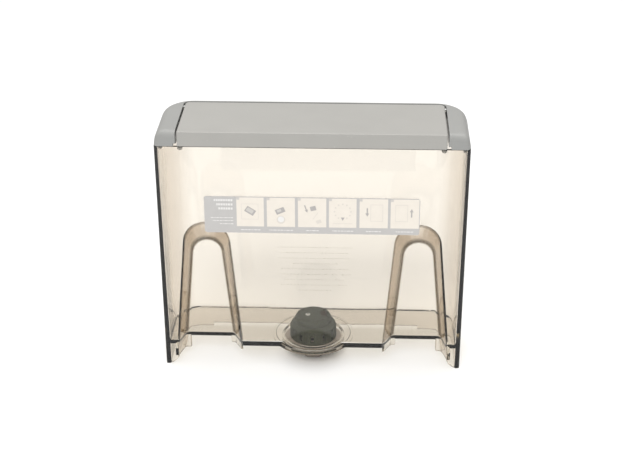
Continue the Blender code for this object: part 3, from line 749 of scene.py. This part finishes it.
def window_ring(top, steps=32):
    """Ring round the dial's window, from a small rounded section, that carries a painted highlight of the window's
    lens.
    """
    bm = bmesh.new()
    centre = around_dial(WINDOW_RADIUS, math.pi)
    rings = []
    for step in range(steps):
        angle = math.tau * step / steps
        rings.append([
            bm.verts.new((
                centre[0] + r * MM * math.cos(angle), centre[1] + r * MM * math.sin(angle), top + z * MM
            ))
            for r, z in WINDOW_SECTION
        ])
    for step, here in enumerate(rings):
        following = rings[(step + 1) % steps]
        for corner in range(len(WINDOW_SECTION)):
            other = (corner + 1) % len(WINDOW_SECTION)
            bm.faces.new((here[corner], following[corner], following[other], here[other]))
    return bm


def coil_mesh(turns=5, per_turn=28, corners=8):
    """Round wire wound between the heights of the spring's node, with its two ends turned level."""
    low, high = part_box("valve_spring")
    wire = 0.3 * MM
    radius = (high.x - low.x) / 2 - wire
    bm = bmesh.new()
    count = turns * per_turn
    rings = []
    for step in range(count + 1):
        angle = math.tau * step / per_turn
        share = min(max((step - per_turn / 2) / (count - per_turn), 0.0), 1.0)
        outward = Vector((math.cos(angle), math.sin(angle), 0.0))
        middle = Vector((*WELL_CENTRE, low.z + wire + (high.z - low.z - 2 * wire) * share)) + outward * radius
        rings.append([
            bm.verts.new(middle + wire * (outward * math.cos(turn) + Vector((0, 0, math.sin(turn)))))
            for turn in (math.tau * corner / corners for corner in range(corners))
        ])
    for here, following in zip(rings, rings[1:]):
        for corner in range(corners):
            other = (corner + 1) % corners
            face = bm.faces.new((here[corner], here[other], following[other], following[corner]))
            face.smooth = True
    bm.faces.new(reversed(rings[0]))
    bm.faces.new(rings[-1])
    return bm


# ---------------------------------------------------------------- studio


FLOOR_SIZE, FLOOR_DROP = 6.0, 0.3 * MM


def build_floor():
    """Lays the pale floor just under the feet."""
    bm = bmesh.new()
    bmesh.ops.create_grid(bm, x_segments=8, y_segments=8, size=FLOOR_SIZE)
    bmesh.ops.translate(bm, verts=bm.verts, vec=(0.0, 0.0, -FLOOR_DROP))
    mesh = bpy.data.meshes.new("studio_floor")
    bm.to_mesh(mesh)
    bm.free()
    floor = bpy.data.objects.new("studio_floor", mesh)
    bpy.context.scene.collection.objects.link(floor)
    material, tree, shader = new_material("pale_floor")
    place = add_node(tree, "ShaderNodeTexCoord")
    cloud = add_node(tree, "ShaderNodeTexNoise", {"Vector": place.outputs["Object"]}, in_Scale=3.0, in_Detail=2.0)
    tone = mix_colour(tree, cloud.outputs["Fac"], (0.90, 0.90, 0.90), (0.92, 0.92, 0.92))
    tree.links.new(tone, shader.inputs["Base Color"])
    shader.inputs["Roughness"].default_value = 0.9
    shader.inputs["Specular IOR Level"].default_value = 0.1
    mesh.materials.append(material)


def build_world(scene, strength):
    """Lights the room evenly."""
    world = bpy.data.worlds.new("studio_room")
    world.use_nodes = True
    back = world.node_tree.nodes["Background"]
    back.inputs["Color"].default_value = (1.0, 0.99, 0.975, 1.0)
    back.inputs["Strength"].default_value = strength
    scene.world = world


LIGHT_AIM = Vector((0.0, 0.0, 0.08))


def build_lights(look):
    """Hangs two square soft lights; the front one casts no highlight."""
    lights = (
        ("front_light", (-0.15, -1.45, 1.75), 1.1, look.key_power),
        ("overhead_light", (0.0, 0.45, 2.1), 1.8, look.fill_power),
    )
    for name, place, size, power in lights:
        lamp = bpy.data.lights.new(name, "AREA")
        lamp.shape = "SQUARE"
        lamp.size = size
        lamp.energy = power
        thing = bpy.data.objects.new(name, lamp)
        thing.location = place
        thing.rotation_euler = (LIGHT_AIM - Vector(place)).to_track_quat("-Z", "Y").to_euler()
        thing.visible_glossy = name != "front_light"
        thing.visible_transmission = False
        bpy.context.scene.collection.objects.link(thing)


CAMERA_AZIMUTH, CAMERA_ELEVATION = math.radians(-2.43), math.radians(26.37)
CAMERA_ROLL = math.radians(-0.212)
CAMERA_SPOT = Vector((0.0445, -1.0653, 0.6386))


def build_camera(scene, look):
    """Sets the camera by its place and three angles."""
    forward = Vector((
        math.sin(CAMERA_AZIMUTH) * math.cos(CAMERA_ELEVATION),
        math.cos(CAMERA_AZIMUTH) * math.cos(CAMERA_ELEVATION),
        -math.sin(CAMERA_ELEVATION),
    ))
    right = Vector((math.cos(CAMERA_AZIMUTH), -math.sin(CAMERA_AZIMUTH), 0.0))
    up = right.cross(forward)
    turned_right = right * math.cos(CAMERA_ROLL) + up * math.sin(CAMERA_ROLL)
    turned_up = turned_right.cross(forward)
    basis = Matrix((turned_right, turned_up, -forward)).transposed()
    lens = bpy.data.cameras.new("studio_camera")
    lens.lens = look.lens
    lens.sensor_width = 36.0
    lens.clip_start, lens.clip_end = 0.01, 50.0
    camera = bpy.data.objects.new("studio_camera", lens)
    camera.matrix_world = Matrix.Translation(CAMERA_SPOT) @ basis.to_4x4()
    scene.collection.objects.link(camera)
    scene.camera = camera


# ---------------------------------------------------------------- operators


class TankOperator:
    """What every operator of this add-on shares."""

    bl_options = {"REGISTER", "UNDO"}


class WATERTANK_OT_shell(TankOperator, bpy.types.Operator):
    """Give the tank shell its smoked clear plastic"""

    bl_idname = "water_tank.shell"
    bl_label = "Tank Shell"

    def execute(self, context):
        look = context.scene.water_tank_finish
        finish_node("tank_body", clear_plastic("smoked_clear", look))
        return {"FINISHED"}


class WATERTANK_OT_top(TankOperator, bpy.types.Operator):
    """Finish the top frame, the lid panel and the hinge pins"""

    bl_idname = "water_tank.top"
    bl_label = "Frame and Lid"

    def execute(self, context):
        look = context.scene.water_tank_finish
        finish_node("top_frame", moulded_plastic("grey_satin", look.frame_colour, wear=look.wear))
        finish_node("lid_panel", moulded_plastic("grey_lid", look.lid_colour, wear=look.wear))
        steel = turned_metal("pin_steel")
        for side in ("left", "right"):
            finish_node(f"hinge_pin_{side}", steel)
        return {"FINISHED"}


class WATERTANK_OT_label(TankOperator, bpy.types.Operator):
    """Print the instruction label: title block, six picture cells and caption bars"""

    bl_idname = "water_tank.label"
    bl_label = "Instruction Label"

    def execute(self, context):
        look = context.scene.water_tank_print
        finish_node("instruction_label", printed_film("label_film", look.film_colour))
        near = LABEL_LOW.y - look.ink_lift - look.ink_depth
        far = LABEL_LOW.y - look.ink_lift
        lift = look.ink_depth + look.ink_lift
        bm = bmesh.new()
        for low, high in CELLS:
            outline = bar(((low + high) / 2 * MM, CELL_MID * MM), ((high - low) * MM, CELL_TALL * MM))
            add_prism(bm, outline, near, far)
        cells = printed_film("label_cells", look.cell_colour, rough=0.5)
        link_mesh("label_cells", bm, [cells], "tank")

        bm = bmesh.new()
        for outline, tone in label_marks():
            points = [(x * MM, z * MM) for x, z in outline]
            layer = lift * (1 + INK_ORDER[tone])
            add_prism(bm, points, near - layer, far - layer, tone)
        inks = [
            printed_film("ink_dark", (0.36, 0.345, 0.335)),
            printed_film("ink_soft", (0.50, 0.48, 0.455)),
            printed_film("ink_faint", (0.585, 0.55, 0.50)),
            printed_film("ink_white", (0.66, 0.65, 0.635)),
        ]
        link_mesh("label_marks", bm, inks, "tank")
        rear_ink = printed_film("ink_rear", (0.80, 0.805, 0.79))
        link_mesh("rear_print", rear_lines(look), [rear_ink], "tank")
        return {"FINISHED"}


class WATERTANK_OT_filter(TankOperator, bpy.types.Operator):
    """Finish the filter holder, its pouch, base, seals and month dial"""

    bl_idname = "water_tank.filter"
    bl_label = "Filter Holder"

    def execute(self, context):
        look = context.scene.water_tank_finish
        dark = moulded_plastic("filter_dark", look.holder_colour, rough=0.5, wear=look.wear, dust=0.0, ior=1.2)
        finish_node("filter_housing", dark)
        finish_node("filter_dial", dark)
        finish_node("filter_base", moulded_plastic("base_taupe", look.base_colour, rough=0.34, dust=0.05))
        finish_node("month_disc", moulded_plastic("disc_pale", (0.78, 0.78, 0.74), wear=0.0, dust=0.0))
        finish_node("filter_cartridge", moulded_plastic(
            "pouch_white", (0.72, 0.70, 0.64), rough=0.75, grain=0.0009, grain_depth=0.0004, wear=0.0, mottle=0.12
        ))
        rubber = moulded_plastic("seal_rubber", RUBBER_COLOUR, rough=0.62, grain=0.0003, wear=0.1)
        for name in ("base_gasket", "cartridge_seal"):
            finish_node(name, rubber)
        return {"FINISHED"}


class WATERTANK_OT_dial_marks(TankOperator, bpy.types.Operator):
    """Put the month numbers on the disc, and the ticks, a pale ring of painted highlight round the window and a thumb
    pad of painted shade on the dial
    """

    bl_idname = "water_tank.dial_marks"
    bl_label = "Dial Marks"

    def execute(self, context):
        look = context.scene.water_tank_print
        ink = printed_film("number_ink", (0.10, 0.10, 0.09))
        link_mesh("month_numbers", month_digits(look), [ink], "housing")

        top = DIAL_HIGH.z
        ticks = bmesh.new()
        for number in range(MONTHS):
            angle = math.tau * (number + 0.5) / MONTHS
            outline = bar(around_dial(TICK_RADIUS, angle), TICK_SIZE, math.degrees(angle))
            add_slab(ticks, outline, top + TICK_LOW, top + TICK_HIGH)
        tick_ink = printed_film("tick_ink", (0.020, 0.006, 0.002), ior=1.15)
        link_mesh("dial_ticks", ticks, [tick_ink], "dial")

        # Painted highlight: a pale opaque ring stands in for the lit clear lens of the window
        pale = moulded_plastic("window_painted_highlight", (0.80, 0.80, 0.76), rough=0.25, wear=0.0, dust=0.0)
        link_mesh("window_highlight_ring", window_ring(top), [pale], "dial")
        # Painted shade: the sunken pad's dark brown stands in for the shade in the shallow thumb recess
        pad = bmesh.new()
        add_slab(pad, thumb_outline(PAD_CENTRE, PAD_RADIUS, PAD_LIMIT), top - PAD_LOW, top - PAD_HIGH)
        brown = moulded_plastic("thumb_pad_painted_shade", (0.034, 0.017, 0.008), rough=0.5, dust=0.0, ior=1.2)
        link_mesh("thumb_pad", pad, [brown], "dial")
        return {"FINISHED"}


class WATERTANK_OT_valve(TankOperator, bpy.types.Operator):
    """Finish the outlet valve, its spring, strainer and seals"""

    bl_idname = "water_tank.valve"
    bl_label = "Outlet Valve"

    def execute(self, context):
        plastic = moulded_plastic("valve_plastic", (0.24, 0.215, 0.195), rough=0.4, wear=0.3)
        for name in ("valve_body", "valve_nut", "valve_plunger"):
            finish_node(name, plastic)
        rubber = moulded_plastic("ring_rubber", RUBBER_COLOUR, rough=0.6, grain=0.0003, wear=0.1)
        for name in ("valve_seal", "outlet_o_ring"):
            finish_node(name, rubber)
        coil = link_mesh("spring_coil", coil_mesh(), [turned_metal("spring_steel")], "tank")
        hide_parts("valve_spring")
        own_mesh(coil)
        finish_node("valve_strainer", turned_metal("strainer_steel", rough=0.34))
        return {"FINISHED"}


class WATERTANK_OT_stage(TankOperator, bpy.types.Operator):
    """Set up the floor, the soft lights and the camera"""

    bl_idname = "water_tank.stage"
    bl_label = "Studio"

    def execute(self, context):
        look = context.scene.water_tank_stage
        scene = context.scene
        scene.view_settings.view_transform = "Standard"
        build_floor()
        build_world(scene, look.sky)
        build_lights(look)
        build_camera(scene, look)
        return {"FINISHED"}


# ---------------------------------------------------------------- panel and registration


class WATERTANK_PT_panel(bpy.types.Panel):
    """Buttons and settings for the water tank"""

    bl_label = "Water Tank"
    bl_idname = "WATERTANK_PT_panel"
    bl_space_type = "VIEW_3D"
    bl_region_type = "UI"
    bl_category = "Water Tank"

    def draw(self, context):
        layout = self.layout
        for operator in OPERATORS:
            layout.operator(operator.bl_idname)
        for group in ("water_tank_finish", "water_tank_print", "water_tank_stage"):
            settings = getattr(context.scene, group)
            box = layout.box()
            for name in settings.__annotations__:
                box.prop(settings, name)


GROUPS = (("water_tank_finish", TankFinish), ("water_tank_print", TankPrint), ("water_tank_stage", TankStage))
OPERATORS = (
    WATERTANK_OT_shell, WATERTANK_OT_top, WATERTANK_OT_label, WATERTANK_OT_filter, WATERTANK_OT_dial_marks,
    WATERTANK_OT_valve, WATERTANK_OT_stage,
)


def register():
    for name, group in GROUPS:
        bpy.utils.register_class(group)
        setattr(bpy.types.Scene, name, bpy.props.PointerProperty(type=group))
    for operator in OPERATORS:
        bpy.utils.register_class(operator)
    bpy.utils.register_class(WATERTANK_PT_panel)


def unregister():
    bpy.utils.unregister_class(WATERTANK_PT_panel)
    for operator in reversed(OPERATORS):
        bpy.utils.unregister_class(operator)
    for name, group in reversed(GROUPS):
        delattr(bpy.types.Scene, name)
        bpy.utils.unregister_class(group)


def main():
    register()
    bpy.ops.water_tank.shell()
    bpy.ops.water_tank.top()
    bpy.ops.water_tank.label()
    bpy.ops.water_tank.filter()
    bpy.ops.water_tank.dial_marks()
    bpy.ops.water_tank.valve()
    bpy.ops.water_tank.stage()


if __name__ == "__main__":
    main()
